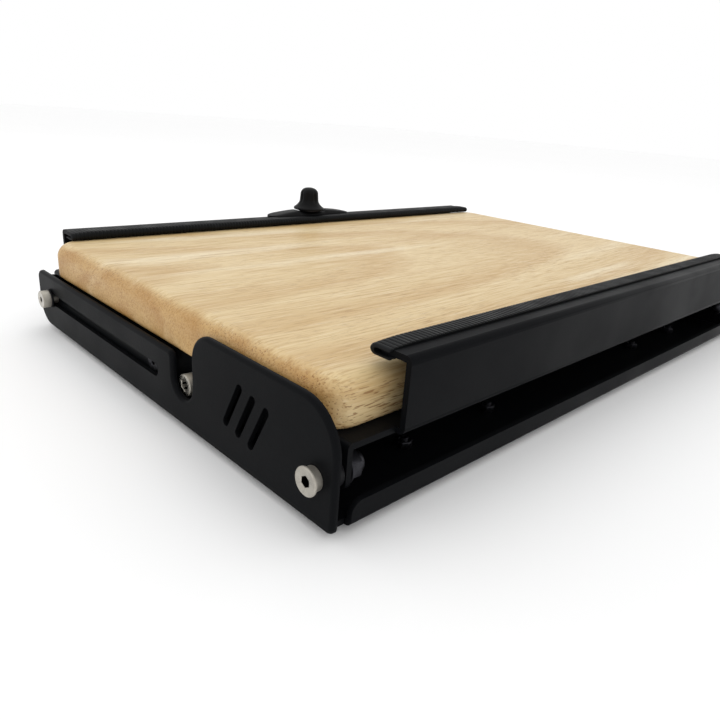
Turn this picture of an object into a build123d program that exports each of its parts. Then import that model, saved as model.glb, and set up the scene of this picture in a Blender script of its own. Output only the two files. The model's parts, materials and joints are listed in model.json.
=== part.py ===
"""Tilting desk-top unit: a bent-sheet base tray, a hinged deck frame that carries a hardwood
board, a sliding prop on each side and a screw-down clamp bar along the rear edge.

Millimetres. X runs along the long side, -Y is the user's side, +Z is up. The origin is under
the middle of the unit, at the level that its rubber feet stand on. The unit is drawn closed.
"""
from build123d import *
import math
import os

os.makedirs("parts", exist_ok=True)

# ---- driving dimensions ----------------------------------------------------------------
base_width = 410.0          # over the outer faces of the side walls
unit_depth = 280.0          # from the front lip to the back of the knob
tray_depth = 274.0          # over the tray's front and rear flanges
sheet = 2.5                 # sheet steel of the tray, the deck frame and the clamp bar
bend_outer = 3.0            # outside radius of every bend
foot_height = 3.0

ear_height = 47.2
rail_height = 32.0          # lower rear part of each side wall
pivot_back = 10.3           # hinge axis behind the tray's front face
pivot_rise = 18.5           # hinge, link and slot axes above the tray's underside
notch_back = 99.5           # notch in each side wall, behind the front face
notch_rise = 21.3           # centre of the notch's round bottom above the tray's underside
notch_radius = 8.3
ear_depth = notch_back - notch_radius       # raised front part of each side wall
rest_back = 102.5           # screw seen through the notch, behind the front face
rest_rise = 17.5
slot_pin_back = 254.0       # slot screw behind the front face, when closed
tilt_max = 62.0             # degrees

deck_inset = 9.0            # deck side flange, inboard of the tray's outer face
deck_front = 4.2            # front edge of the deck sheet, behind the front face
deck_rise = 28.3            # underside of the deck sheet above the tray's underside
lip_inset = 32.0            # ends of the front lip, inboard of the tray's outer face

board_length = 400.0
board_depth = 252.0
board_thickness = 20.0
board_front = 11.5          # front edge of the board, behind the front face

trim_width = 10.0           # rubber edge trim, across its length
trim_wall = 1.3
trim_lap = 5.5              # how far the trim laps over the sheet edge

running_gap = 0.05          # radial clearance of a turning fit
body_gap = 0.3              # least clearance between parts that move past each other

# ---- levels and stations ---------------------------------------------------------------
half_width = base_width / 2
front = -unit_depth / 2
tray_rear = front + tray_depth
z_tray = foot_height
z_floor = z_tray + sheet
z_pivot = z_tray + pivot_rise
z_deck_under = z_tray + deck_rise
z_deck = z_deck_under + sheet
z_board = z_deck + board_thickness
y_pivot = front + pivot_back
y_notch = front + notch_back
z_notch = z_tray + notch_rise
y_rest = front + rest_back
z_rest = z_tray + rest_rise
y_slot_pin = front + slot_pin_back
link_length = (slot_pin_back - pivot_back) / 2      # equal to the deck's own arm
y_link = y_pivot + link_length
trim_thickness = sheet + 2 * trim_wall
hole_start = 20.0           # cross holes start this far outboard of the walls


def side_plane(inboard):
    """Plane across the X axis, a distance inboard of the left wall's outer face."""
    return Plane.YZ.offset(inboard - half_width)


def side_disc(inboard, length, y, z, radius):
    """Add a round along X to the part being built, on the left side."""
    with BuildSketch(side_plane(inboard)) as disc:
        with Locations((y, z)):
            Circle(radius)
    extrude(disc.sketch, amount=length)


def side_hole(y, z, radius):
    """Cut a round hole along X through the whole width of the part being built."""
    with BuildSketch(side_plane(-hole_start)) as disc:
        with Locations((y, z)):
            Circle(radius)
    extrude(disc.sketch, amount=base_width + 2 * hole_start, mode=Mode.SUBTRACT)


def side_socket(inboard, depth, y, z, across_flats):
    """Cut a hexagon socket into a screw head, from its outer face inboard."""
    with BuildSketch(side_plane(inboard)) as hexagon:
        with Locations((y, z)):
            RegularPolygon(across_flats / 2, 6, major_radius=False)
    extrude(hexagon.sketch, amount=depth, mode=Mode.SUBTRACT)


def side_hexagon(inboard, length, y, z, across_flats):
    """Add a hexagon nut body along X, on the left side."""
    with BuildSketch(side_plane(inboard)) as hexagon:
        with Locations((y, z)):
            RegularPolygon(across_flats / 2, 6, major_radius=False)
    extrude(hexagon.sketch, amount=length)


def level_disc(z, height, x, y, radius, mode=Mode.ADD):
    """Add or cut a round along Z."""
    with BuildSketch(Plane.XY.offset(z)) as disc:
        with Locations((x, y)):
            Circle(radius)
    extrude(disc.sketch, amount=height, mode=mode)


def save(builder, name):
    """Label a finished piece and write its STEP file."""
    builder.part.label = name
    export_step(builder.part, f"parts/{name}.step")


def edges_at(builder, axis, **place):
    """Edges along an axis whose middle lies at the given |x|, |y| or z."""
    found = []
    for edge in builder.edges().filter_by(axis):
        middle = edge.center()
        here = {"x": abs(middle.X), "y": middle.Y, "z": middle.Z}
        if all(abs(here[key] - value) < 0.01 for key, value in place.items()):
            found.append(edge)
    return found


# ---- base tray -------------------------------------------------------------------------
flange_height = 10.0
rear_flange_height = deck_rise - 0.8
shoulder_rise = 14.0        # the rear flange widens above this height
shoulder_gap = 0.5          # between the widened flange and each side wall
nut_notch_width = 14.0      # notch in the rear flange, clear of the clamp's weld nut
nut_notch_rise = 20.0
flange_inset = 9.0          # corner relief between a flange and the side wall
wall_front_relief = 3.5
wall_rear_relief = 20.0
slot_radius = 3.3
y_slot_front = y_pivot + 2 * link_length * math.cos(math.radians(tilt_max)) - 0.6
y_slot_rear = y_slot_pin + 0.6
emblem_spots = [(-8.5, -1.5), (0.0, 0.0), (8.5, 1.5)]
foot_spots = [(sx * 111.4, sy * 114.0) for sx in (-1, 1) for sy in (-1, 1)]
foot_screw_pitch = 60.4
foot_screw_radius = 2.0

with BuildPart() as base_tray:
    with BuildSketch(Plane.XY.offset(z_tray)) as floor_sheet:
        with Locations((0, (front + tray_rear) / 2)):
            Rectangle(base_width - 2 * flange_inset, tray_depth)
        with Locations((0, (front + wall_front_relief + tray_rear - wall_rear_relief) / 2)):
            Rectangle(base_width, tray_depth - wall_front_relief - wall_rear_relief)
    extrude(amount=sheet)
    with BuildSketch(side_plane(0)) as wall:
        with Locations((front + ear_depth / 2, z_tray + ear_height / 2)):
            Rectangle(ear_depth, ear_height)
        with Locations(((front + tray_rear) / 2, z_tray + rail_height / 2)):
            Rectangle(tray_depth, rail_height)
        fillet(wall.vertices().group_by(Axis.Y)[-1].sort_by(Axis.X)[0], radius=19)
        fillet(wall.vertices().group_by(Axis.Y)[-1].sort_by(Axis.X)[-1], radius=13)
        fillet(wall.vertices().group_by(Axis.X)[-1].sort_by(Axis.Y)[0], radius=14)
        fillet(wall.vertices().group_by(Axis.X)[-1].sort_by(Axis.Y)[-1], radius=5)
        with Locations((y_notch, z_notch)):
            Circle(notch_radius, mode=Mode.SUBTRACT)
        with Locations((y_notch, z_notch + ear_height / 2)):
            Rectangle(2 * notch_radius, ear_height, mode=Mode.SUBTRACT)
        notch_lip = Vector(y_notch + notch_radius, z_tray + rail_height)
        fillet(wall.vertices().sort_by_distance(notch_lip)[0], radius=3)
        with Locations(((y_slot_front + y_slot_rear) / 2, z_pivot)):
            SlotCenterToCenter(y_slot_rear - y_slot_front, 2 * slot_radius, mode=Mode.SUBTRACT)
        with Locations((y_pivot, z_pivot)):
            Circle(4.0 + running_gap, mode=Mode.SUBTRACT)
        for shift, rise in emblem_spots:
            with Locations((front + 51.5 + shift, z_tray + 24 + rise)):
                SlotCenterToCenter(20, 3.6, rotation=118, mode=Mode.SUBTRACT)
    extrude(wall.sketch, amount=sheet)
    mirror(about=Plane.YZ)
    with BuildSketch(Plane.XZ.offset(-front)) as front_flange:
        with Locations((0, z_tray + flange_height / 2)):
            Rectangle(base_width - 2 * flange_inset, flange_height)
        fillet(front_flange.vertices().group_by(Axis.Y)[-1], radius=5)
    extrude(front_flange.sketch, amount=-sheet)
    with BuildSketch(Plane.XZ.offset(-tray_rear)) as rear_flange:
        with Locations((0, z_tray + rear_flange_height / 2)):
            Rectangle(base_width - 2 * flange_inset, rear_flange_height)
        with Locations((0, z_tray + (shoulder_rise + rear_flange_height) / 2)):
            Rectangle(base_width - 2 * (sheet + shoulder_gap), rear_flange_height - shoulder_rise)
        fillet(rear_flange.vertices().group_by(Axis.Y)[-1], radius=3)
        with Locations((0, z_tray + nut_notch_rise + ear_height / 2)):
            Rectangle(nut_notch_width, ear_height, mode=Mode.SUBTRACT)
    extrude(rear_flange.sketch, amount=sheet)
    fillet(edges_at(base_tray, Axis.X, y=front, z=z_tray), radius=bend_outer)
    fillet(edges_at(base_tray, Axis.X, y=tray_rear, z=z_tray), radius=bend_outer)
    fillet(edges_at(base_tray, Axis.Y, x=half_width, z=z_tray), radius=1.8)
    for foot_x, foot_y in foot_spots:
        for side in (-1, 1):
            level_disc(z_tray, sheet, foot_x + side * foot_screw_pitch / 2, foot_y,
                       foot_screw_radius + 0.15, Mode.SUBTRACT)
save(base_tray, "base_tray")

# ---- feet and their fasteners ----------------------------------------------------------
foot_length = 84.0
foot_width = 16.0
screw_head_radius = 3.6
head_recess = 1.8


def foot_strip(x, y):
    """One rubber strip with two recessed screw holes, standing on the origin's level."""
    with BuildPart() as strip:
        with BuildSketch(Plane.XY) as outline:
            with Locations((x, y)):
                SlotOverall(foot_length, foot_width)
        extrude(amount=foot_height)
        fillet(strip.edges().group_by(Axis.Z)[0], radius=0.6)
        for side in (-1, 1):
            hole_x = x + side * foot_screw_pitch / 2
            level_disc(0, foot_height, hole_x, y, foot_screw_radius + 0.15, Mode.SUBTRACT)
            level_disc(0, head_recess + 0.6, hole_x, y, screw_head_radius + 0.3, Mode.SUBTRACT)
    return strip


foot_names = ["foot_front_left", "foot_rear_left", "foot_front_right", "foot_rear_right"]
for foot_name, (foot_x, foot_y) in zip(foot_names, foot_spots):
    save(foot_strip(foot_x, foot_y), foot_name)

foot_screw_spots = []
for foot_x, foot_y in foot_spots:
    foot_screw_spots.append((foot_x - foot_screw_pitch / 2, foot_y))
    foot_screw_spots.append((foot_x + foot_screw_pitch / 2, foot_y))

with BuildPart() as foot_screws:
    for screw_x, screw_y in foot_screw_spots:
        level_disc(0.6, head_recess, screw_x, screw_y, screw_head_radius)
        level_disc(0.6 + head_recess, 7.6, screw_x, screw_y, foot_screw_radius)
        with BuildSketch(Plane.XY.offset(0.6)) as socket:
            with Locations((screw_x, screw_y)):
                RegularPolygon(1.25, 6, major_radius=False)
        extrude(socket.sketch, amount=1.2, mode=Mode.SUBTRACT)
save(foot_screws, "foot_screws")

with BuildPart() as foot_nuts:
    for screw_x, screw_y in foot_screw_spots:
        with BuildSketch(Plane.XY.offset(z_floor)) as nut:
            with Locations((screw_x, screw_y)):
                RegularPolygon(3.5, 6, major_radius=False)
                Circle(foot_screw_radius, mode=Mode.SUBTRACT)
        extrude(nut.sketch, amount=3.2)
save(foot_nuts, "foot_nuts")

# ---- front pivots ----------------------------------------------------------------------
pivot_radius = 4.0
pivot_head_radius = 5.5     # flat disc at the outer end of the head
pivot_disc = 1.0
pivot_neck_radius = 4.6     # between the disc and the side wall
pivot_head = 4.0            # disc and neck together
deck_face = deck_inset + sheet      # inner face of the deck's side flange
thread_radius = 3.0

with BuildPart() as pivot_screws:
    side_disc(-pivot_head, pivot_disc, y_pivot, z_pivot, pivot_head_radius)
    fillet(pivot_screws.edges().filter_by(GeomType.CIRCLE).group_by(Axis.X)[0], radius=0.25)
    side_disc(pivot_disc - pivot_head, pivot_head - pivot_disc,
              y_pivot, z_pivot, pivot_neck_radius)
    side_disc(0, deck_face + 0.4, y_pivot, z_pivot, pivot_radius)
    side_disc(deck_face + 0.4, 8.0, y_pivot, z_pivot, thread_radius)
    side_socket(-pivot_head, 2.8, y_pivot, z_pivot, 4.0)
    mirror(about=Plane.YZ)
save(pivot_screws, "pivot_screws")

with BuildPart() as pivot_spacers:
    side_disc(sheet, deck_inset - sheet - body_gap, y_pivot, z_pivot, 6.0)
    side_hole(y_pivot, z_pivot, pivot_radius + running_gap)
    mirror(about=Plane.YZ)
save(pivot_spacers, "pivot_spacers")

with BuildPart() as pivot_washers:
    side_disc(deck_face + 0.4, 1.0, y_pivot, z_pivot, 6.5)
    side_hole(y_pivot, z_pivot, thread_radius)
    mirror(about=Plane.YZ)
save(pivot_washers, "pivot_washers")

with BuildPart() as pivot_nuts:
    nut_start = deck_face + 1.4
    side_hexagon(nut_start, 5.0, y_pivot, z_pivot, 10.0)
    side_disc(nut_start + 5.0, 3.6, y_pivot, z_pivot, 4.7)
    fillet(pivot_nuts.edges().filter_by(GeomType.CIRCLE).group_by(Axis.X)[-1], radius=3.2)
    with BuildSketch(side_plane(nut_start)) as bore:
        with Locations((y_pivot, z_pivot)):
            Circle(thread_radius)
    extrude(bore.sketch, amount=7.0, mode=Mode.SUBTRACT)
    mirror(about=Plane.YZ)
save(pivot_nuts, "pivot_nuts")

# ---- deck frame ------------------------------------------------------------------------
flange_drop = 15.8          # side flange below the deck sheet's underside
flange_rear = 243.0         # rear end of the side flange, clear of the tie rod
lip_top = z_board + 7.5
lip_return = 14.5           # depth of the lip's return from its front face
deck_rear = 277.6           # rear face of the upstand
upstand_height = 16.0
upstand_inset = 19.0
y_stud = front + 267.9
stud_radius = 3.0
board_screw_spots = [(sx * 150.0, front + sy) for sx in (-1, 0, 1) for sy in (60.0, 215.0)]

with BuildPart() as deck_frame:
    deck_half = half_width - deck_inset
    lip_length = base_width - 2 * lip_inset
    with BuildSketch(Plane.XY.offset(z_deck_under)) as deck_sheet:
        with Locations((0, front + (deck_front + 272.0) / 2)):
            Rectangle(2 * deck_half, 272.0 - deck_front)
        with Locations((0, front + 20)):
            Rectangle(lip_length, 40)
        with Locations((0, front + deck_rear - 20)):
            Rectangle(2 * (half_width - upstand_inset), 40)
    extrude(amount=sheet)
    with BuildSketch(side_plane(deck_inset)) as flange:
        with Locations((front + (deck_front + flange_rear) / 2, z_deck - (flange_drop + sheet) / 2)):
            Rectangle(flange_rear - deck_front, flange_drop + sheet)
        fillet(flange.vertices().group_by(Axis.Y)[0].sort_by(Axis.X)[0], radius=3)
        fillet(flange.vertices().group_by(Axis.Y)[0].sort_by(Axis.X)[-1], radius=8)
        with Locations((y_pivot, z_pivot), (y_link, z_pivot)):
            Circle(pivot_radius + running_gap, mode=Mode.SUBTRACT)
        with Locations((y_rest, z_rest)):
            Circle(thread_radius + 0.1, mode=Mode.SUBTRACT)
    extrude(flange.sketch, amount=sheet)
    mirror(about=Plane.YZ)
    with BuildSketch(Plane.YZ.offset(-lip_length / 2)) as lip:
        with Locations((front + sheet / 2, (z_deck_under + lip_top) / 2)):
            Rectangle(sheet, lip_top - z_deck_under)
        with Locations((front + lip_return / 2, lip_top - sheet / 2)):
            Rectangle(lip_return, sheet)
    extrude(lip.sketch, amount=lip_length)
    with BuildSketch(Plane.XZ.offset(-(front + deck_rear))) as upstand:
        with Locations((0, z_deck_under + (upstand_height + sheet) / 2)):
            Rectangle(2 * (half_width - upstand_inset), upstand_height + sheet)
        fillet(upstand.vertices().group_by(Axis.Y)[-1], radius=4)
    extrude(upstand.sketch, amount=sheet)
    fillet(edges_at(deck_frame, Axis.X, y=front, z=z_deck_under), radius=bend_outer)
    fillet(edges_at(deck_frame, Axis.X, y=front, z=lip_top), radius=bend_outer)
    fillet(edges_at(deck_frame, Axis.X, y=front + deck_rear, z=z_deck_under), radius=bend_outer)
    fillet(edges_at(deck_frame, Axis.Y, x=deck_half, z=z_deck), radius=2.2)
    level_disc(z_deck_under, sheet, 0, y_stud, stud_radius + 0.3, Mode.SUBTRACT)
    for screw_x, screw_y in board_screw_spots:
        level_disc(z_deck_under, sheet, screw_x, screw_y, 2.2, Mode.SUBTRACT)
save(deck_frame, "deck_frame")

# ---- board and its screws --------------------------------------------------------------
with BuildPart() as wood_board:
    with BuildSketch(Plane.XY.offset(z_deck)) as board_outline:
        with Locations((0, front + board_front + board_depth / 2)):
            RectangleRounded(board_length, board_depth, 15)
    extrude(amount=board_thickness)
    fillet(wood_board.edges().group_by(Axis.Z)[-1], radius=8)
    fillet(wood_board.edges().group_by(Axis.Z)[0], radius=2)
    for screw_x, screw_y in board_screw_spots:
        level_disc(z_deck, 13.0, screw_x, screw_y, 2.0, Mode.SUBTRACT)
save(wood_board, "wood_board")

with BuildPart() as board_screws:
    for screw_x, screw_y in board_screw_spots:
        level_disc(z_deck_under - 2.4, 2.4, screw_x, screw_y, 4.0)
        level_disc(z_deck_under, sheet + 12.5, screw_x, screw_y, 2.0)
    fillet(board_screws.edges().filter_by(GeomType.CIRCLE).group_by(Axis.Z)[0], radius=1.6)
save(board_screws, "board_screws")


def edge_trim(y_nose, z_middle, opening, length):
    """U-shaped rubber trim along X; opening is +1 or -1, the way its mouth faces along Y."""
    with BuildPart() as trim:
        with BuildSketch(Plane.YZ.offset(-length / 2)) as section:
            with Locations((y_nose + opening * trim_width / 2, z_middle)):
                RectangleRounded(trim_width, trim_thickness, 1.2)
            with Locations((y_nose + opening * (trim_width - trim_lap / 2), z_middle)):
                Rectangle(trim_lap, sheet, mode=Mode.SUBTRACT)
        extrude(amount=length)
    return trim


# The front trim closes round the lip's return, just above the board.
front_trim_length = base_width - 2 * (lip_inset - 2.0)
y_front_nose = front + lip_return - trim_lap + trim_width
front_trim = edge_trim(y_front_nose, lip_top - sheet / 2, -1, front_trim_length)
save(front_trim, "front_trim")

# ---- rest screws, seen through the notches; their heads guide the deck between the walls -
rest_head_radius = 5.0
rest_head = 6.0

with BuildPart() as rest_screws:
    side_disc(deck_inset - rest_head, rest_head, y_rest, z_rest, rest_head_radius)
    fillet(rest_screws.edges().filter_by(GeomType.CIRCLE).group_by(Axis.X)[0], radius=0.4)
    side_disc(deck_inset, sheet + 7.5, y_rest, z_rest, thread_radius)
    side_socket(deck_inset - rest_head, 3.0, y_rest, z_rest, 5.0)
    mirror(about=Plane.YZ)
save(rest_screws, "rest_screws")

with BuildPart() as rest_washers:
    side_disc(deck_face, 1.2, y_rest, z_rest, 5.4)
    side_hole(y_rest, z_rest, thread_radius)
    mirror(about=Plane.YZ)
save(rest_washers, "rest_washers")

with BuildPart() as rest_nuts:
    side_hexagon(deck_face + 1.2, 5.5, y_rest, z_rest, 10.0)
    side_hole(y_rest, z_rest, thread_radius)
    mirror(about=Plane.YZ)
save(rest_nuts, "rest_nuts")

# ---- prop links, tie rod and their fasteners -------------------------------------------
link_start = sheet + 0.7    # outer face of a link, inboard of the wall's outer face
link_sheet = 3.0
link_half_height = 8.0
link_end = link_start + link_sheet
screw_radius = 2.5

with BuildPart() as link_left:
    with BuildSketch(side_plane(link_start)) as link_plate:
        with Locations(((y_link + y_slot_pin) / 2, z_pivot)):
            SlotCenterToCenter(link_length, 2 * link_half_height)
        with Locations((y_link, z_pivot), (y_slot_pin, z_pivot)):
            Circle(screw_radius, mode=Mode.SUBTRACT)
    extrude(amount=link_sheet)
    fillet(link_left.edges().filter_by(Axis.Y), radius=0.4)
    with BuildSketch(side_plane(link_start)) as sink:
        with Locations((y_link, z_pivot)):
            Circle(screw_radius + 2.5)
    extrude(sink.sketch, amount=screw_radius, taper=45, mode=Mode.SUBTRACT)
save(link_left, "link_left")

with BuildPart() as link_right:
    mirror(link_left.part, about=Plane.YZ)
save(link_right, "link_right")

with BuildPart() as link_screws:
    with BuildSketch(side_plane(link_start)) as head:
        with Locations((y_link, z_pivot)):
            Circle(screw_radius + 2.4)
    extrude(head.sketch, amount=2.4, taper=45)
    side_disc(link_start + 2.4, 13.0, y_link, z_pivot, screw_radius)
    side_socket(link_start, 1.8, y_link, z_pivot, 3.0)
    mirror(about=Plane.YZ)
save(link_screws, "link_screws")

# A stepped bush: its collar spaces the link from the deck flange, its body is the bearing.
bush_collar = deck_inset - body_gap
bush_end = deck_face + 0.4
with BuildPart() as link_bushes:
    side_disc(link_end, bush_collar - link_end, y_link, z_pivot, 6.5)
    side_disc(bush_collar, bush_end - bush_collar, y_link, z_pivot, pivot_radius)
    side_hole(y_link, z_pivot, screw_radius)
    mirror(about=Plane.YZ)
save(link_bushes, "link_bushes")

with BuildPart() as link_washers:
    side_disc(bush_end, 1.2, y_link, z_pivot, 6.5)
    side_hole(y_link, z_pivot, screw_radius)
    mirror(about=Plane.YZ)
save(link_washers, "link_washers")

with BuildPart() as link_nuts:
    side_hexagon(bush_end + 1.2, 4.6, y_link, z_pivot, 8.0)
    side_hole(y_link, z_pivot, screw_radius)
    mirror(about=Plane.YZ)
save(link_nuts, "link_nuts")

slide_radius = 3.0
slide_head = 4.5
slide_washer = 1.0
with BuildPart() as slide_screws:
    head_start = -body_gap - slide_washer - slide_head
    side_disc(head_start, slide_head, y_slot_pin, z_pivot, 5.0)
    fillet(slide_screws.edges().filter_by(GeomType.CIRCLE).group_by(Axis.X)[0], radius=0.4)
    side_disc(head_start + slide_head, link_start - head_start - slide_head,
              y_slot_pin, z_pivot, slide_radius)
    side_disc(link_start, 13.0, y_slot_pin, z_pivot, screw_radius)
    side_socket(head_start, 2.4, y_slot_pin, z_pivot, 3.0)
    mirror(about=Plane.YZ)
save(slide_screws, "slide_screws")

with BuildPart() as slide_washers:
    side_disc(-body_gap - slide_washer, slide_washer, y_slot_pin, z_pivot, 5.6)
    side_hole(y_slot_pin, z_pivot, slide_radius)
    mirror(about=Plane.YZ)
save(slide_washers, "slide_washers")

with BuildPart() as tie_rod:
    side_disc(link_end, base_width - 2 * link_end, y_slot_pin, z_pivot, 5.0)
    chamfer(tie_rod.edges().filter_by(GeomType.CIRCLE), length=0.6)
    for end_plane, inward in ((side_plane(link_end), 1), (side_plane(base_width - link_end), -1)):
        with BuildSketch(end_plane) as rod_bore:
            with Locations((y_slot_pin, z_pivot)):
                Circle(screw_radius)
        extrude(rod_bore.sketch, amount=inward * 14.0, mode=Mode.SUBTRACT)
save(tie_rod, "tie_rod")

# ---- rear clamp bar --------------------------------------------------------------------
bar_length = 376.0
bar_rear = deck_rear - sheet - body_gap
bar_front = bar_rear - 17.4
bar_top = z_board + trim_wall + sheet + body_gap
bar_foot = z_deck + 2.2

with BuildPart() as clamp_bar:
    with BuildSketch(Plane.YZ.offset(-bar_length / 2)) as bar:
        with Locations((front + bar_rear - sheet / 2, (bar_foot + bar_top) / 2)):
            Rectangle(sheet, bar_top - bar_foot)
        with Locations((front + (bar_front + bar_rear) / 2, bar_top - sheet / 2)):
            Rectangle(bar_rear - bar_front, sheet)
    extrude(bar.sketch, amount=bar_length)
    fillet(edges_at(clamp_bar, Axis.X, y=front + bar_rear, z=bar_top), radius=bend_outer)
    level_disc(bar_top - sheet, sheet, 0, y_stud, stud_radius + 0.3, Mode.SUBTRACT)
save(clamp_bar, "clamp_bar")

rear_trim = edge_trim(front + bar_front + trim_lap - trim_width, bar_top - sheet / 2, 1,
                      bar_length + 4)
save(rear_trim, "rear_trim")

# A low moulded saddle that spreads the knob's load; its top falls away towards both ends.
saddle_length = 78.0
saddle_width = 14.0
saddle_rise = 5.4
saddle_end = 2.4
saddle_seat = 3.4           # round sunk seat for the knob, above the bar
seat_radius = 12.6
y_saddle = y_stud - 0.6
with BuildPart() as clamp_saddle:
    with BuildSketch(Plane.XZ.offset(-(y_saddle - saddle_width / 2))) as saddle:
        with BuildLine():
            base_line = Line((-saddle_length / 2, bar_top), (saddle_length / 2, bar_top))
            right_end = Line(base_line @ 1, (saddle_length / 2, bar_top + saddle_end))
            crown = ThreePointArc(right_end @ 1, (0, bar_top + saddle_rise),
                                  (-saddle_length / 2, bar_top + saddle_end))
            Line(crown @ 1, base_line @ 0)
        make_face()
    extrude(saddle.sketch, amount=-saddle_width)
    fillet(clamp_saddle.edges().filter_by(Axis.Z), radius=5)
    level_disc(bar_top, 6.0, 0, y_stud, stud_radius + 0.3, Mode.SUBTRACT)
    level_disc(bar_top + saddle_seat, 3.0, 0, y_stud, seat_radius, Mode.SUBTRACT)
    with BuildSketch(Plane.XY.offset(bar_top)) as trim_rebate:
        with Locations((0, front + bar_front + trim_lap + 0.1 - saddle_width / 2)):
            Rectangle(saddle_length, saddle_width)
    extrude(trim_rebate.sketch, amount=trim_wall + 0.1, mode=Mode.SUBTRACT)
save(clamp_saddle, "clamp_saddle")

# ---- weld nut, stud, collar, washer and knob -------------------------------------------
nut_height = 5.0
with BuildPart() as weld_nut:
    with BuildSketch(Plane.XY.offset(z_deck_under - nut_height)) as nut:
        with Locations((0, y_stud)):
            RegularPolygon(4.8, 6, major_radius=False)
            Circle(stud_radius + running_gap, mode=Mode.SUBTRACT)
    extrude(nut.sketch, amount=nut_height)
save(weld_nut, "weld_nut")

stud_tip = z_tray + 19.5
washer_height = 1.0
knob_base = bar_top + saddle_seat + body_gap + washer_height
knob_height = 16.9
with BuildPart() as clamp_stud:
    level_disc(stud_tip, knob_base + 11.0 - stud_tip, 0, y_stud, stud_radius)
    chamfer(clamp_stud.edges().group_by(Axis.Z)[0], length=0.8)
save(clamp_stud, "clamp_stud")

with BuildPart() as stud_collar:
    with BuildSketch(Plane.XY.offset(bar_top - sheet - body_gap - 1.0)) as ring:
        with Locations((0, y_stud)):
            Circle(stud_radius + 1.0)
            Circle(stud_radius, mode=Mode.SUBTRACT)
    extrude(ring.sketch, amount=1.0)
save(stud_collar, "stud_collar")

with BuildPart() as knob_washer:
    with BuildSketch(Plane.XY.offset(knob_base - washer_height)) as ring:
        with Locations((0, y_stud)):
            Circle(8.5)
            Circle(stud_radius, mode=Mode.SUBTRACT)
    extrude(ring.sketch, amount=washer_height)
save(knob_washer, "knob_washer")

skirt_radius = 12.0
column_radius = 7.4
flute_count = 8
column_top = column_radius - 0.4
column_height = 11.8
dome_height = knob_height - column_height
dome_radius = (column_top ** 2 + dome_height ** 2) / (2 * dome_height)
dome_half = math.asin(column_top / dome_radius) / 2
with BuildPart() as clamp_knob:
    with BuildSketch(Plane.YZ) as knob_half:
        with BuildLine():
            foot_line = Line((y_stud, knob_base), (y_stud + skirt_radius, knob_base))
            skirt_edge = Line(foot_line @ 1, (y_stud + skirt_radius, knob_base + 1.6))
            flare = ThreePointArc(skirt_edge @ 1, (y_stud + 8.8, knob_base + 4.1),
                                  (y_stud + column_radius, knob_base + 8.2))
            column = Line(flare @ 1, (y_stud + column_top, knob_base + column_height))
            dome = ThreePointArc(
                column @ 1,
                (y_stud + dome_radius * math.sin(dome_half), knob_base + knob_height
                 - dome_radius * (1 - math.cos(dome_half))),
                (y_stud, knob_base + knob_height))
            Line(dome @ 1, foot_line @ 0)
        make_face()
    revolve(knob_half.sketch, axis=Axis((0, y_stud, 0), (0, 0, 1)))
    for turn in range(flute_count):
        angle = math.radians(turn * 360 / flute_count)
        reach = column_radius + 1.5
        level_disc(knob_base + 5.6, knob_height, reach * math.cos(angle),
                   y_stud + reach * math.sin(angle), 2.1, Mode.SUBTRACT)
    level_disc(knob_base, 11.0, 0, y_stud, stud_radius, Mode.SUBTRACT)
save(clamp_knob, "clamp_knob")
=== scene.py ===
import json
import math

import bmesh
import bpy
from mathutils import Matrix, Quaternion, Vector


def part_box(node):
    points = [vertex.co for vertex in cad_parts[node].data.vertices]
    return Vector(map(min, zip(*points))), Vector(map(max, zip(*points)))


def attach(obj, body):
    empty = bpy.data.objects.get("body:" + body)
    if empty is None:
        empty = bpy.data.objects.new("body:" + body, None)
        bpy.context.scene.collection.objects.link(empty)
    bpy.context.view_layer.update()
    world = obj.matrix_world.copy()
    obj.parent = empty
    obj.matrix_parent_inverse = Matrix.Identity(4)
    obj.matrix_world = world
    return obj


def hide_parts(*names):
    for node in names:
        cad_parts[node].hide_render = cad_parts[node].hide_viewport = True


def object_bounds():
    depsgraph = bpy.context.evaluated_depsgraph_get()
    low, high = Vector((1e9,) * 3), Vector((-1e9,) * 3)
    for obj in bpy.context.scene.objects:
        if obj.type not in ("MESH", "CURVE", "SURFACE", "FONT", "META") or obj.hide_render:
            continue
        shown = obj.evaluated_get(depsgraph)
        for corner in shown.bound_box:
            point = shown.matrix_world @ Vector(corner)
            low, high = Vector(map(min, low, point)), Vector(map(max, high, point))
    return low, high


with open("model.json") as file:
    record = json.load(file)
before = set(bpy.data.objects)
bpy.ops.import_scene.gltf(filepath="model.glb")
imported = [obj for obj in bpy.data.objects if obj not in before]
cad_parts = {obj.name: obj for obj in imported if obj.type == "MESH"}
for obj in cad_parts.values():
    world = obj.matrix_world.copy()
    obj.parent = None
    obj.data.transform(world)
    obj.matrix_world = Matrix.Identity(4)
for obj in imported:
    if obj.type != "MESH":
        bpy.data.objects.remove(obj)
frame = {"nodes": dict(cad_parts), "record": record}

CAD_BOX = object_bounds()
MM = 0.001
TURNS = 96                  # points round a turned piece; a multiple of 12 keeps hexagons true
SMOOTH_ANGLE = math.radians(34)
SIDE_ROUGHNESS = 0.55       # sides of a turned screw head
SOCKET_SHADE_REACH = 2.42 * MM    # a turned screw's socket gets painted shade inside this radius of its axis, from this depth below its face
SOCKET_SHADE_START = 0.4 * MM     # from this depth below its face
WAVE_PITCH = math.tau / 20  # spacing of the bands of a wave texture of scale 1


# ---- finishes ---------------------------------------------------------------------------
def tint(red, green, blue):
    """Scene-linear colour from 0-255 display values."""
    def channel(value):
        value /= 255
        return value / 12.92 if value <= 0.04045 else ((value + 0.055) / 1.055) ** 2.4
    return (channel(red), channel(green), channel(blue), 1.0)


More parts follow.
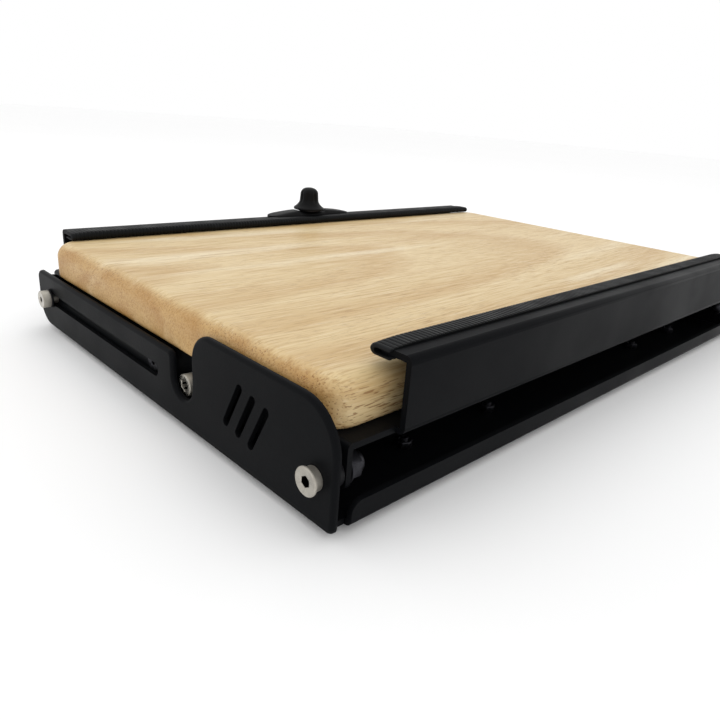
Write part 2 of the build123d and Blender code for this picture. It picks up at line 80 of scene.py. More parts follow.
class Finish:
    """A Principled material, with short ways to add procedural detail in object space."""

    def __init__(self, name, colour, roughness, **sockets):
        self.material = bpy.data.materials.new(name)
        self.material.use_nodes = True
        self.tree = self.material.node_tree
        self.shader = self.tree.nodes["Principled BSDF"]
        self.shader.inputs["Base Color"].default_value = colour
        self.shader.inputs["Roughness"].default_value = roughness
        for socket, value in sockets.items():
            self.shader.inputs[socket.replace("_", " ")].default_value = value
        coordinates = self.node("ShaderNodeTexCoord")
        self.place = coordinates.outputs["Object"]
        self.normal = coordinates.outputs["Normal"]

    def node(self, kind, **settings):
        made = self.tree.nodes.new(kind)
        for key, value in settings.items():
            setattr(made, key, value)
        return made

    def join(self, source, target):
        """Link a socket, or set a plain number or colour."""
        if isinstance(source, bpy.types.NodeSocket):
            self.tree.links.new(source, target)
        else:
            target.default_value = source

    def drive(self, socket, source):
        self.join(source, self.shader.inputs[socket])

    def scaled(self, source, size, stretch=(1, 1, 1)):
        mapping = self.node("ShaderNodeMapping")
        mapping.inputs["Scale"].default_value = [1 / (size * part) for part in stretch]
        self.join(source, mapping.inputs["Vector"])
        return mapping.outputs["Vector"]

    def noise(self, size, stretch=(1, 1, 1), detail=3.0, source=None, output="Fac"):
        """Noise with features of about size metres, drawn out along the axes by stretch."""
        texture = self.node("ShaderNodeTexNoise")
        texture.inputs["Scale"].default_value = 1.0
        texture.inputs["Detail"].default_value = detail
        self.join(self.scaled(source or self.place, size, stretch), texture.inputs["Vector"])
        return texture.outputs[output]

    def math(self, operation, first, second=0.0, third=0.0):
        made = self.node("ShaderNodeMath", operation=operation)
        for socket, value in zip(made.inputs, (first, second, third)):
            self.join(value, socket)
        return made.outputs[0]

    def remap(self, source, low, high, to_low=0.0, to_high=1.0):
        made = self.node("ShaderNodeMapRange", interpolation_type="SMOOTHSTEP")
        for socket, value in zip(made.inputs, (source, low, high, to_low, to_high)):
            self.join(value, socket)
        return made.outputs[0]

    def ramp(self, source, *stops):
        made = self.node("ShaderNodeValToRGB")
        elements = made.color_ramp.elements
        while len(elements) < len(stops):
            elements.new(0.5)
        for element, (position, colour) in zip(elements, stops):
            element.position = position
            element.color = colour
        self.join(source, made.inputs["Fac"])
        return made.outputs["Color"]

    def mix(self, factor, first, second, blend="MIX"):
        made = self.node("ShaderNodeMix", data_type="RGBA", blend_type=blend)
        colours = [socket for socket in made.inputs if socket.type == "RGBA"]
        self.join(factor, made.inputs[0])
        self.join(first, colours[0])
        self.join(second, colours[1])
        return [socket for socket in made.outputs if socket.type == "RGBA"][0]

    def bump(self, height, distance, strength=1.0, under=None):
        made = self.node("ShaderNodeBump")
        made.inputs["Distance"].default_value = distance
        made.inputs["Strength"].default_value = strength
        self.join(height, made.inputs["Height"])
        if under is not None:
            self.join(under, made.inputs["Normal"])
        return made.outputs["Normal"]


def powder_coat(name, colour):
    """Satin black powder coat: fine orange peel, slightly uneven gloss."""
    coat = Finish(name, colour, 0.45, Specular_IOR_Level=0.04)
    peel = coat.noise(0.0011, detail=2.0)
    grit = coat.noise(0.00028, detail=1.0)
    cloud = coat.noise(0.045)
    coat.drive("Normal", coat.bump(grit, 0.00003, 0.35, coat.bump(peel, 0.00008, 0.4)))
    coat.drive("Roughness", coat.remap(cloud, 0.3, 0.7, 0.40, 0.50))
    speckle = coat.remap(grit, 0.35, 0.75)
    coat.drive("Base Color", coat.mix(speckle, colour, tint(17, 18, 20)))
    return coat.material


def hardwood():
    """Pale hardwood with its fibres along X; the same pattern shows as dots on the end grain."""
    wood = Finish("pale_hardwood", tint(214, 188, 146), 0.45, Specular_IOR_Level=0.35)
    drift = wood.noise(0.11, (5, 1, 1), detail=2.0, output="Color")
    swayed = wood.node("ShaderNodeVectorMath", operation="MULTIPLY_ADD")
    wood.join(drift, swayed.inputs[0])
    swayed.inputs[1].default_value = (0.0, 0.050, 0.050)
    wood.join(wood.place, swayed.inputs[2])
    split = wood.node("ShaderNodeSeparateXYZ")
    wood.join(swayed.outputs[0], split.inputs[0])
    along, across, up = split.outputs
    pith_y = wood.math("MULTIPLY_ADD", along, 0.10, wood.math("SUBTRACT", across, 0.035))
    pith_z = wood.math("MULTIPLY_ADD", along, 0.13, wood.math("ADD", up, 0.045))
    pith = wood.node("ShaderNodeCombineXYZ")
    wood.join(wood.math("MULTIPLY", along, 0.08), pith.inputs[0])
    wood.join(pith_y, pith.inputs[1])
    wood.join(pith_z, pith.inputs[2])
    rings = wood.node("ShaderNodeTexWave", wave_type="RINGS", rings_direction="X",
                      wave_profile="SAW")
    wood.join(pith.outputs[0], rings.inputs["Vector"])
    rings.inputs["Scale"].default_value = 13.0
    rings.inputs["Distortion"].default_value = 1.6
    rings.inputs["Detail"].default_value = 2.0
    rings.inputs["Detail Scale"].default_value = 1.4

    figure = wood.ramp(rings.outputs["Fac"], (0.0, tint(217, 193, 146)),
                       (0.45, tint(211, 185, 136)), (0.80, tint(200, 169, 117)),
                       (1.0, tint(213, 188, 141)))
    tone = wood.noise(0.026, (12, 1, 1), detail=3.0, source=swayed.outputs[0])
    figure = wood.mix(wood.remap(tone, 0.55, 0.72, 0.0, 0.85), figure, tint(232, 217, 184))
    figure = wood.mix(wood.remap(tone, 0.46, 0.26, 0.0, 0.60), figure, tint(193, 158, 105))
    fibre = wood.noise(0.0010, (26, 1, 1), detail=4.0, source=swayed.outputs[0])
    figure = wood.mix(wood.remap(fibre, 0.52, 0.28, 0.0, 0.55), figure, tint(172, 133, 82))
    figure = wood.mix(wood.remap(fibre, 0.55, 0.75, 0.0, 0.40), figure, tint(232, 214, 177))

    # The open pores read faintly on the planed top and darker on the rounded edges.
    facing = wood.node("ShaderNodeSeparateXYZ")
    wood.join(wood.normal, facing.inputs[0])
    edge = wood.remap(facing.outputs[2], 0.97, 0.70, 0.45, 1.0)
    patch = wood.remap(wood.noise(0.02, (4, 1, 1), detail=1.0), 0.35, 0.65, 0.35, 0.85)
    pore = wood.remap(wood.noise(0.00055, (13, 1, 1), detail=1.0), 0.59, 0.67)
    pore_depth = wood.math("MULTIPLY", wood.math("MULTIPLY", pore, patch), edge)
    figure = wood.mix(pore_depth, figure, tint(140, 100, 58))
    end_grain = wood.remap(wood.math("ABSOLUTE", facing.outputs[0]), 0.25, 0.85)
    darker = wood.mix(1.0, figure, tint(228, 208, 178), "MULTIPLY")
    wood.drive("Base Color", wood.mix(end_grain, figure, darker))
    wood.drive("Roughness", wood.remap(fibre, 0.3, 0.7, 0.50, 0.36))
    grain = wood.bump(fibre, 0.00006, 0.5)
    wood.drive("Normal", wood.bump(pore, -0.00008, 0.6, grain))
    return wood.material


def rubber(name, colour, roughness):
    """Matt rubber with a faint bloom and fine pits."""
    stock = Finish(name, colour, roughness, Specular_IOR_Level=0.1)
    pits = stock.noise(0.0005, detail=2.0)
    bloom = stock.noise(0.012)
    stock.drive("Normal", stock.bump(pits, 0.00005, 0.5))
    stock.drive("Roughness", stock.remap(bloom, 0.3, 0.7, roughness - 0.08, roughness + 0.08))
    stock.drive("Base Color", stock.mix(stock.remap(bloom, 0.45, 0.8), colour, tint(24, 25, 27)))
    return stock.material


def metal(name, colour, shade, roughness, rings=0.0):
    """Bare or plated steel. Rings is the pitch of the turning marks on the face of a turned
    screw head, about the piece's own Z axis; its socket gets painted shade, its sides rough."""
    steel = Finish(name, colour, roughness, Metallic=1.0)
    cloud = steel.noise(0.004, detail=4.0)
    fine = steel.noise(0.0003, detail=2.0)
    skin = steel.mix(steel.remap(cloud, 0.35, 0.7), colour, shade)
    relief = steel.bump(fine, 0.00001, 0.4)
    if not rings:
        gloss = steel.remap(fine, 0.3, 0.7, roughness - 0.06, roughness + 0.08)
    else:
        across = steel.node("ShaderNodeVectorMath", operation="MULTIPLY")
        steel.join(steel.place, across.inputs[0])
        across.inputs[1].default_value = (1.0, 1.0, 0.0)
        reach = steel.node("ShaderNodeVectorMath", operation="LENGTH")
        steel.join(across.outputs[0], reach.inputs[0])
        depth = steel.node("ShaderNodeSeparateXYZ")
        steel.join(steel.place, depth.inputs[0])
        # Painted shade: the socket recess of the head is coloured near black inside this reach and
        # below this depth.
        inside = steel.math("LESS_THAN", reach.outputs["Value"], SOCKET_SHADE_REACH)
        below = steel.math("GREATER_THAN", depth.outputs[2], SOCKET_SHADE_START)
        socket = steel.math("MULTIPLY", inside, below)
        skin = steel.mix(socket, skin, tint(30, 28, 26))
        marks = steel.node("ShaderNodeTexWave", wave_type="RINGS", rings_direction="Z")
        steel.join(steel.place, marks.inputs["Vector"])
        marks.inputs["Scale"].default_value = WAVE_PITCH / rings
        marks.inputs["Distortion"].default_value = 1.0
        facing = steel.node("ShaderNodeSeparateXYZ")
        steel.join(steel.normal, facing.inputs[0])
        on_face = steel.remap(steel.math("ABSOLUTE", facing.outputs[2]), 0.8, 0.95)
        turned_face = steel.math("MULTIPLY", marks.outputs["Fac"], on_face)
        gloss = steel.remap(on_face, 0.0, 1.0, SIDE_ROUGHNESS, roughness)
        relief = steel.bump(turned_face, 0.000012, 0.6, relief)
    steel.drive("Base Color", skin)
    steel.drive("Roughness", gloss)
    steel.drive("Normal", relief)
    return steel.material


def moulded(name, colour, roughness):
    """Moulded plastic with a spark-eroded grain."""
    plastic = Finish(name, colour, roughness, Specular_IOR_Level=0.1)
    grain = plastic.noise(0.0006, detail=3.0)
    plastic.drive("Normal", plastic.bump(grain, 0.00006, 0.5))
    plastic.drive("Roughness", plastic.remap(grain, 0.3, 0.7, roughness - 0.06, roughness + 0.08))
    plastic.drive("Base Color", plastic.mix(plastic.remap(grain, 0.5, 0.8), colour,
                                            tint(20, 20, 22)))
    return plastic.material


FINISHES = {
    "powder_coat": powder_coat("satin_powder_coat", tint(11, 12, 14)),
    "hardwood": hardwood(),
    "rubber_trim": rubber("trim_rubber", tint(13, 14, 15), 0.5),
    "rubber_foot": rubber("foot_rubber", tint(26, 26, 27), 0.75),
    "stainless": metal("turned_stainless", (0.49, 0.465, 0.41, 1), (0.40, 0.375, 0.33, 1), 0.24,
                       rings=0.00035),
    "zinc_steel": metal("zinc_plate", (0.60, 0.61, 0.63, 1), (0.48, 0.50, 0.53, 1), 0.32),
    "black_steel": metal("black_oxide", tint(62, 62, 66), tint(44, 44, 48), 0.42),
    "black_nylon": moulded("black_nylon_stock", tint(22, 22, 24), 0.5),
    "black_plastic": moulded("knob_plastic", tint(11, 11, 12), 0.46),
}
SLOTS = {part["node"]: part["material_slot"] for part in frame["record"]["subparts"]}
BODIES = {node: body for body, nodes in frame["record"]["behaviour"]["bodies"].items()
          for node in nodes}


# ---- mesh helpers -----------------------------------------------------------------------
def loft(name, loops, node, place=Matrix.Identity(4), around=False):
    """A closed piece through matching loops of points, standing for a CAD node.

    Around joins the last loop to the first, for a piece with a bore; otherwise both ends are
    capped.
    """
    form = bmesh.new()
    rows = [[form.verts.new(point) for point in loop] for loop in loops]
    for low, high in zip(rows, rows[1:] + rows[:1] if around else rows[1:]):
        for step in range(len(low)):
            after = (step + 1) % len(low)
            form.faces.new((low[step], low[after], high[after], high[step]))
    if not around:
        form.faces.new(rows[0][::-1])
        form.faces.new(rows[-1])
    bmesh.ops.recalc_face_normals(form, faces=form.faces)
    for face in form.faces:
        face.smooth = True
    for edge in form.edges:
        edge.smooth = edge.calc_face_angle(0) < SMOOTH_ANGLE
    data = bpy.data.meshes.new(name)
    form.to_mesh(data)
    form.free()
    piece = bpy.data.objects.new(name, data)
    bpy.context.scene.collection.objects.link(piece)
    piece.matrix_world = place
    data.materials.append(FINISHES[SLOTS[node]])
    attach(piece, BODIES[node])
    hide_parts(node)
    return piece


def ring(height, radius):
    """Loop of points about Z, in metres from millimetres; radius may depend on the angle."""
    loop = []
    for step in range(TURNS):
        angle = math.tau * step / TURNS
        reach = radius(angle) if callable(radius) else radius
        loop.append(Vector((reach * math.cos(angle), reach * math.sin(angle), height)) * MM)
    return loop


def turned(name, stations, node, place, around=False):
    """A piece turned about its own Z axis, through (height, radius) stations in millimetres."""
    return loft(name, [ring(*station) for station in stations], node, place, around)


def hexagon(across_flats, limit=math.inf):
    """Radius of a hexagon at an angle, cut back to a limit where its corners are chamfered."""
    def radius(angle):
        flat = (angle + math.pi / 6) % (math.pi / 3) - math.pi / 6
        return min(across_flats / 2 / math.cos(flat), limit)
    return radius


def thread(radius, start, end, pitch):
    """Stations of a screw thread that fades out over half a turn at both ends."""
    depth = 0.54 * pitch
    count = math.ceil(abs(end - start) / pitch * 6)
    stations = []
    for step in range(count + 1):
        height = start + (end - start) * step / count
        fade = min(1.0, 2 * abs(height - start) / pitch, 2 * abs(end - height) / pitch)

        def reach(angle, height=height, fade=fade):
            phase = (height / pitch - angle / math.tau) % 1
            return radius - depth * fade * (1 - abs(2 * phase - 1))
        stations.append((height, reach))
    return stations


def solids(node):
    """Box of each separate solid in a CAD node, as (lowest, highest) corners."""
    form = bmesh.new()
    form.from_mesh(frame["nodes"][node].data)
    bmesh.ops.remove_doubles(form, verts=form.verts, dist=1e-7)
    waiting = set(form.verts)
    boxes = []
    while waiting:
        found = [waiting.pop()]
        for vert in found:
            for edge in vert.link_edges:
                other = edge.other_vert(vert)
                if other in waiting:
                    waiting.remove(other)
                    found.append(other)
        corners = [[extreme(vert.co[axis] for vert in found) for axis in range(3)]
                   for extreme in (min, max)]
        boxes.append(tuple(Vector(corner) for corner in corners))
    form.free()
    return sorted(boxes, key=lambda box: (round(box[0].x, 5), box[0].y))


def inward(box):
    """Place at the outboard end of a side fastener, with its own Z pointing inboard."""
    low, high = box
    side = 1 if low.x + high.x > 0 else -1
    outer = high.x if side > 0 else low.x
    origin = Vector((outer, (low.y + high.y) / 2, (low.z + high.z) / 2))
    return Matrix.Translation(origin) @ Vector((-side, 0, 0)).to_track_quat("Z", "Y").to_matrix(
        ).to_4x4()


def upward(box):
    """Place at the foot of a standing fastener, with its own Z pointing up."""
    low, high = box
    return Matrix.Translation(((low.x + high.x) / 2, (low.y + high.y) / 2, low.z))


def length_mm(box, axis):
    return (box[1] - box[0])[axis] / MM


# ---- fasteners --------------------------------------------------------------------------
def socket_head(radius, length, across_flats, depth):
    """Stations of a socket head: from the bottom of the socket, over the face, to the shank."""
    lip = across_flats * 0.62
    return [(depth + 0.5, 0.25), (depth, hexagon(across_flats * 0.96)),
            (0.22, hexagon(across_flats)), (0.0, lip), (0.0, radius - 0.35), (0.05, radius - 0.28),
            (0.25, radius - 0.05), (0.35, radius), (length - 0.2, radius), (length, radius - 0.2)]


def disc_head(radius, disc, neck, length, across_flats, depth):
    """Stations of a flat disc head on a narrower neck, with the same kind of socket."""
    flat = socket_head(radius, disc, across_flats, depth)[:8]
    return [*flat, (disc - 0.15, radius), (disc, radius - 0.15), (disc, neck + 0.2),
            (disc + 0.2, neck), (length, neck)]


def screws(node, head, shank, place_of=inward):
    """One turned screw for each solid of a node."""
    for count, box in enumerate(solids(node)):
        turned(f"{node}_{count + 1}", head + shank(box), node, place_of(box))


def washers(node, bore, place_of=inward, axis=0):
    """Stamped washers, rounded on the outer edge."""
    for count, box in enumerate(solids(node)):
        thick = length_mm(box, axis)
        radius = length_mm(box, 1) / 2
        soft = min(0.25, thick / 3)
        turned(f"{node}_{count + 1}",
               [(0, bore + 0.1), (0, radius - soft), (soft * 0.4, radius - soft * 0.25),
                (soft, radius), (thick - soft, radius), (thick - soft * 0.4, radius - soft * 0.25),
                (thick, radius - soft), (thick, bore + 0.1), (thick - 0.15, bore),
                (0.15, bore)], node, place_of(box), around=True)


def nuts(node, across_flats, bore, pitch, place_of=inward, axis=0):
    """Hexagon nuts with chamfered corners and a threaded bore."""
    corner = across_flats / math.sqrt(3)
    for count, box in enumerate(solids(node)):
        thick = length_mm(box, axis)
        chamfer = 0.5
        cut = corner - 1.0
        face = across_flats / 2 - 0.15
        outside = [(0, bore + 0.4), (0, face), (chamfer * 0.45, hexagon(across_flats, cut + 0.45)),
                   (chamfer, hexagon(across_flats)), (thick - chamfer, hexagon(across_flats)),
                   (thick - chamfer * 0.45, hexagon(across_flats, cut + 0.45)), (thick, face),
                   (thick, bore + 0.4)]
        bore_rings = thread(bore + 0.25, thick - 0.3, 0.3, pitch)
        turned(f"{node}_{count + 1}", outside + bore_rings, node, place_of(box), around=True)


PIVOT_HEAD_LENGTH = 4.0
PIVOT_THREAD = 8.0
REST_HEAD_LENGTH = 6.0
SLIDE_HEAD_LENGTH = 4.5
SLIDE_SHOULDER = 4.5        # plain length under the head, through the washer and the wall
PIVOT_HEAD = disc_head(5.5, 1.0, 4.6, PIVOT_HEAD_LENGTH, 4.0, 2.8)
REST_HEAD = socket_head(5.0, REST_HEAD_LENGTH, 4.8, 3.0)
SLIDE_HEAD = socket_head(5.0, SLIDE_HEAD_LENGTH, 3.0, 2.4)


def pivot_shank(box):
    end = length_mm(box, 0)
    shoulder = end - PIVOT_THREAD
    return [(PIVOT_HEAD_LENGTH, 4.0), (shoulder - 0.2, 4.0), (shoulder, 3.8), (shoulder, 3.0),
            *thread(3.0, shoulder + 0.3, end - 0.5, 1.0), (end, 2.4)]


def rest_shank(box):
    end = length_mm(box, 0)
    return [(REST_HEAD_LENGTH, 3.0), *thread(3.0, 9.0, end - 0.5, 1.0), (end, 2.4)]


def slide_shank(box):
    end = length_mm(box, 0)
    neck = SLIDE_HEAD_LENGTH + SLIDE_SHOULDER
    return [(SLIDE_HEAD_LENGTH, 3.0), (neck - 0.1, 3.0), (neck, 2.9), (neck, 2.5),
            *thread(2.5, neck + 0.4, end - 0.5, 0.8), (end, 2.0)]


screws("pivot_screws", PIVOT_HEAD, pivot_shank)
screws("rest_screws", REST_HEAD, rest_shank)
screws("slide_screws", SLIDE_HEAD, slide_shank)


def link_shank(box):
    end = length_mm(box, 0)
    return [(0.15, 4.9), (2.4, 2.5), *thread(2.5, 7.0, end - 0.4, 0.8), (end, 2.0)]


screws("link_screws", [(2.2, 0.2), (1.8, hexagon(2.9)), (0.25, hexagon(3.0)), (0.0, 1.9),
                       (0.0, 4.7)], link_shank)


def foot_shank(box):
    end = length_mm(box, 2)
    return [(1.8, 3.6), (1.8, 2.0), *thread(2.0, 3.0, end - 0.4, 0.7), (end, 1.6)]


screws("foot_screws", [(1.5, 0.2), (1.2, hexagon(2.4)), (0.2, hexagon(2.5)), (0.0, 1.6),
                       (0.0, 2.6), (0.18, 3.1), (0.6, 3.5), (1.1, 3.6)], foot_shank, upward)


def board_shank(box):
    end = length_mm(box, 2)
    return [(2.4, 4.0), (2.4, 2.0), *thread(2.0, 5.6, end - 1.6, 1.6), (end, 0.3)]


screws("board_screws", [(1.7, 0.2), (1.3, hexagon(2.4)), (0.2, hexagon(2.5)), (0.0, 1.6),
                        (0.05, 2.2), (0.35, 3.0), (0.95, 3.7), (1.7, 4.0)], board_shank, upward)

washers("pivot_washers", 3.02)
washers("rest_washers", 3.02)
washers("link_washers", 2.52)
washers("slide_washers", 3.02)
washers("knob_washer", 3.02, upward, axis=2)
nuts("rest_nuts", 10.0, 3.0, 1.0)
nuts("link_nuts", 8.0, 2.5, 0.8)
nuts("foot_nuts", 7.0, 2.0, 0.7, upward, axis=2)
nuts("weld_nut", 9.6, 3.35, 1.0, upward, axis=2)      # the stud runs clear through it

# Domed cap nuts at the front hinge: a chamfered hexagon that runs into a small dome.
CAP_HEX = 5.0
CAP_DOME_RADIUS = 4.7
for number, solid in enumerate(solids("pivot_nuts")):
    whole = length_mm(solid, 0)
    dome_height = whole - CAP_HEX
    dome = [(CAP_HEX + dome_height * math.sin(turn), CAP_DOME_RADIUS * math.cos(turn) + 0.05)
            for turn in (math.radians(15 * step) for step in range(1, 7))]
    turned(f"pivot_nuts_{number + 1}",
           [(0.0, 4.85), (0.25, hexagon(10.0, 5.4)), (0.6, hexagon(10.0)),
            (CAP_HEX - 0.5, hexagon(10.0)), (CAP_HEX - 0.2, hexagon(10.0, 5.4)),
            (CAP_HEX, 4.9), (CAP_HEX + 0.05, CAP_DOME_RADIUS), *dome],
           "pivot_nuts", inward(solid))

# Stud of the rear clamp: threaded below the bar, plain where it is held in the knob.
stud_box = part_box("clamp_stud")
stud_top = length_mm(stud_box, 2)
turned("clamp_stud_1", [(0.0, 2.2), *thread(2.98, 0.5, stud_top - 20.0, 1.0),
                        (stud_top - 0.3, 2.95), (stud_top, 2.7)],
       "clamp_stud", upward(stud_box))

# ---- clamp knob -------------------------------------------------------------------------
KNOB_SKIRT = 11.9
KNOB_COLUMN = 7.4
KNOB_CROWN = 5.0            # height of the rounded top
KNOB_FLUTES = 8
FLUTE_DEPTH = 0.9
OUTLINE_STEPS = 12          # points along the flare, and again along the rounded top


def fluted(radius, depth):
    """Radius of a column with round flutes, at an angle."""
    def reach(angle):
        wave = 0.5 + 0.5 * math.cos(KNOB_FLUTES * angle)
        return radius - depth * wave ** 3
    return reach


def knob_stations(height):
    """Knob outline from its underside, over the skirt, up the fluted column and the dome."""
    shoulder = height - KNOB_CROWN
    stations = [(0.0, 3.05), (0.0, KNOB_SKIRT - 0.5), (0.15, KNOB_SKIRT - 0.15),
                (0.5, KNOB_SKIRT), (1.3, KNOB_SKIRT), (1.65, KNOB_SKIRT - 0.2)]
    flare_low, flare_high = 1.9, 8.4
    for step in range(OUTLINE_STEPS + 1):
        share = step / OUTLINE_STEPS
        rise = flare_low + (flare_high - flare_low) * share
        reach = KNOB_COLUMN + (KNOB_SKIRT - 0.6 - KNOB_COLUMN) * (1 - share) ** 2.4
        depth = FLUTE_DEPTH * max(0.0, (share - 0.45) / 0.55) ** 0.8
        stations.append((rise, fluted(reach, depth)))
    stations.append((shoulder, fluted(KNOB_COLUMN - 0.3, FLUTE_DEPTH)))
    crown = KNOB_COLUMN - 0.3
    for step in range(1, OUTLINE_STEPS + 1):
        turn = math.radians(7.2 * step)     # stops short of the axis, at a tiny flat
        reach = crown * math.cos(turn) ** 0.85
        fade = FLUTE_DEPTH * max(0.0, 1 - step / 6)
        stations.append((shoulder + KNOB_CROWN * math.sin(turn), fluted(reach, fade)))
    return stations


knob_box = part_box("clamp_knob")
turned("clamp_knob_grip", knob_stations(length_mm(knob_box, 2)), "clamp_knob", upward(knob_box))

# ---- clamp saddle -----------------------------------------------------------------------
SADDLE_SEAT = 3.4 * MM      # sunk seat under the knob, above the bar
SADDLE_END = 2.0 * MM
SEAT_REACH = 12.7 * MM
SADDLE_STEPS = 64


def saddle_loops():
    """Cross-sections of the saddle along X: crowned on top, rebated over the trim."""
    low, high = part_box("clamp_saddle")
    trim_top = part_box("rear_trim")[1].z + 0.1 * MM
    trim_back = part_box("rear_trim")[1].y + 0.15 * MM
    middle_y = (low.y + high.y) / 2
    half_length = (high.x - low.x) / 2
    half_width = (high.y - low.y) / 2
    rise = high.z - low.z
    loops = []
    for step in range(SADDLE_STEPS + 1):
        turn = math.pi * step / SADDLE_STEPS
        x = -half_length * math.cos(turn)
        share = abs(x) / half_length
        crown = SADDLE_END + (rise - SADDLE_END) * (1 - share ** 2)
        if abs(x) < SEAT_REACH:
            crown = min(crown, SADDLE_SEAT)
        crown = low.z + crown
        # The plan is a long rounded bar: its width closes in over the last few millimetres.
        closing = max(0.0, (abs(x) - (half_length - half_width)) / half_width)
        wide = half_width * max(0.12, math.sqrt(max(0.0, 1 - closing ** 2)))
        crown = trim_top + (crown - trim_top) * (1 - 0.35 * closing ** 2)
        top = []
        for part in range(17):
            across = math.cos(math.pi * part / 16)
            drop = (crown - trim_top - 0.2 * MM) * abs(across) ** 7
            top.append(Vector((x, middle_y + wide * across, crown - drop)))
        front_y = middle_y - wide
        rear_y = middle_y + wide
        step_y = min(max(trim_back, front_y + 0.1 * MM), rear_y - 0.05 * MM)
        loops.append([Vector((x, rear_y, low.z)), *top, Vector((x, front_y, trim_top)),
                      Vector((x, step_y, trim_top)), Vector((x, step_y, low.z))])
    return loops


loft("clamp_saddle_body", saddle_loops(), "clamp_saddle")

# ---- ribbed edge trim -------------------------------------------------------------------
RIB_PITCH = 2.3 * MM
RIB_STEPS = 8
RIB_DEPTH = 0.28 * MM
TRIM_MOUTH = 1.25 * MM      # half the sheet thickness that the trim closes on
CAVITY_DEPTH = 7.6 * MM
END_REACH = 16 * MM         # how far from an end the trim starts to settle


def trim_section(width, half_height):
    """(u, w, ribbed) points: u from the mouth to the nose, w up, ribbed on the outer skin."""
    nose = half_height
    points = [(0.0, half_height - 0.35 * MM, True), (0.3 * MM, half_height - 0.05 * MM, True)]
    points += [(width * share, half_height, True) for share in (0.12, 0.3, 0.45, 0.6)]
    for step in range(9):
        turn = math.pi / 2 - math.pi * step / 8
        points.append((width - nose + nose * math.cos(turn), nose * math.sin(turn), True))
    points += [(width * share, -half_height, True) for share in (0.6, 0.45, 0.3, 0.12)]
    points += [(0.3 * MM, 0.05 * MM - half_height, True), (0.0, 0.35 * MM - half_height, True),
               (0.1 * MM, -TRIM_MOUTH, False)]
    for step in range(5):
        turn = -math.pi / 2 + math.pi * step / 4
        points.append((CAVITY_DEPTH - TRIM_MOUTH + TRIM_MOUTH * math.cos(turn),
                       TRIM_MOUTH * math.sin(turn), False))
    points.append((0.1 * MM, TRIM_MOUTH, False))
    return points


def ribbed_trim(node, opening):
    """U trim along X with cross ribs; opening is -1 if its mouth faces the front."""
    low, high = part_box(node)
    width = high.y - low.y
    half_height = (high.z - low.z) / 2
    middle_z = (low.z + high.z) / 2
    mouth_y = low.y if opening < 0 else high.y
    section = trim_section(width, half_height)
    count = round((high.x - low.x) / RIB_PITCH) * RIB_STEPS
    loops = []
    for step in range(count + 1):
        x = low.x + (high.x - low.x) * step / count
        groove = max(0.0, math.cos(math.tau * step / RIB_STEPS)) ** 2 * RIB_DEPTH
        reach = min(x - low.x, high.x - x)
        settle = max(0.0, 1 - reach / END_REACH) ** 2
        worn = 0.5 * MM * max(0.0, 1 - reach / (1.2 * MM)) ** 2
        loop = []
        for u, w, ribbed in section:
            inset = (groove + worn) if ribbed else 0.0
            pulled_u = u - inset * (u / width)
            pulled_w = w - math.copysign(min(inset, abs(w)), w)
            sunk = (pulled_w + half_height) * (1 - 0.16 * settle) - half_height
            loop.append(Vector((x, mouth_y - opening * pulled_u, middle_z + sunk)))
        loops.append(loop)
    return loft(f"{node}_ribbed", loops, node)


ribbed_trim("front_trim", -1)
ribbed_trim("rear_trim", 1)

# ---- carried-over parts -----------------------------------------------------------------
EDGE_BREAK = {"base_tray": 0.35 * MM, "deck_frame": 0.35 * MM, "clamp_bar": 0.35 * MM,
              "link_left": 0.3 * MM, "link_right": 0.3 * MM, "stud_collar": 0.15 * MM,
              "tie_rod": 0.2 * MM, "pivot_spacers": 0.2 * MM, "link_bushes": 0.2 * MM}

for node, part in frame["nodes"].items():
    part.data.materials.clear()
    part.data.materials.append(FINISHES[SLOTS[node]])
    if node in EDGE_BREAK:
        weld = part.modifiers.new("weld", "WELD")
        weld.merge_threshold = 0.01 * MM
        edge_break = part.modifiers.new("edge_break", "BEVEL")
        edge_break.width = EDGE_BREAK[node]
        edge_break.segments = 2
        edge_break.limit_method = "ANGLE"
        edge_break.angle_limit = math.radians(50)
        edge_break.harden_normals = True

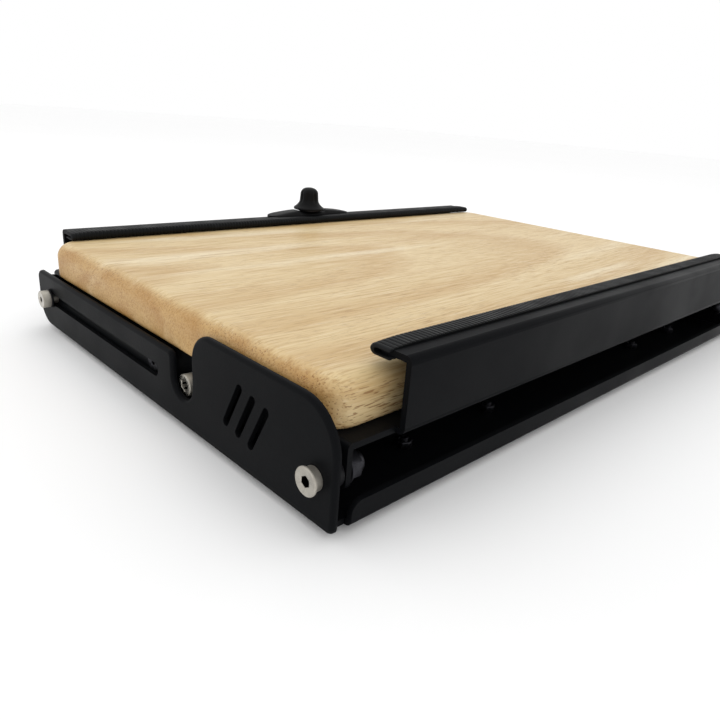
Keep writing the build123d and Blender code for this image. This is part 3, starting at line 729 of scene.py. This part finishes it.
# ---- floor, light and camera ------------------------------------------------------------
FLOOR_REACH = 6.0
ground = CAD_BOX[0].z
floor_data = bpy.data.meshes.new("floor")
floor_data.from_pydata([(side_x * FLOOR_REACH, side_y * FLOOR_REACH, ground)
                        for side_x, side_y in ((-1, -1), (1, -1), (1, 1), (-1, 1))],
                       [], [(0, 1, 2, 3)])
floor = bpy.data.objects.new("floor", floor_data)
bpy.context.scene.collection.objects.link(floor)
paper = Finish("pale_floor", (0.98, 0.98, 0.98, 1), 0.9)
paper.drive("Base Color", paper.mix(paper.noise(0.5), (0.985, 0.985, 0.985, 1),
                                    (0.97, 0.97, 0.97, 1)))
floor_data.materials.append(paper.material)

world = bpy.data.worlds.new("studio")
bpy.context.scene.world = world
world.use_nodes = True
world.node_tree.nodes["Background"].inputs["Color"].default_value = (1, 1, 1, 1)
world.node_tree.nodes["Background"].inputs["Strength"].default_value = 1.0


def softbox(name, place, target, size, power):
    """A large square light that looks at a point."""
    lamp = bpy.data.lights.new(name, "AREA")
    lamp.size = size
    lamp.energy = power
    box = bpy.data.objects.new(name, lamp)
    box.location = place
    box.rotation_mode = "QUATERNION"
    box.rotation_quaternion = (Vector(target) - Vector(place)).to_track_quat("-Z", "Y")
    bpy.context.scene.collection.objects.link(box)


softbox("overhead_softbox", (0.1, 0.5, 1.4), (0, 0, 0), 1.2, 3.0)
softbox("left_softbox", (-1.4, 0.2, 0.8), (0, 0, 0), 1.0, 0.6)

CAMERA_PLACE = Vector((-323.7, -265.0, 135.7)) * MM
CAMERA_LOOK = Vector((0.66013, 0.65632, -0.36533))
CAMERA_ROLL = math.radians(4.53)
lens = bpy.data.cameras.new("camera")
lens.sensor_width = 36.0
lens.lens = 31.15
lens.clip_start = 0.01
camera = bpy.data.objects.new("camera", lens)
camera.location = CAMERA_PLACE
camera.rotation_mode = "QUATERNION"
camera.rotation_quaternion = CAMERA_LOOK.to_track_quat("-Z", "Y") @ Quaternion((0, 0, 1),
                                                                               CAMERA_ROLL)
bpy.context.scene.collection.objects.link(camera)
bpy.context.scene.camera = camera
bpy.context.scene.view_settings.view_transform = "Standard"
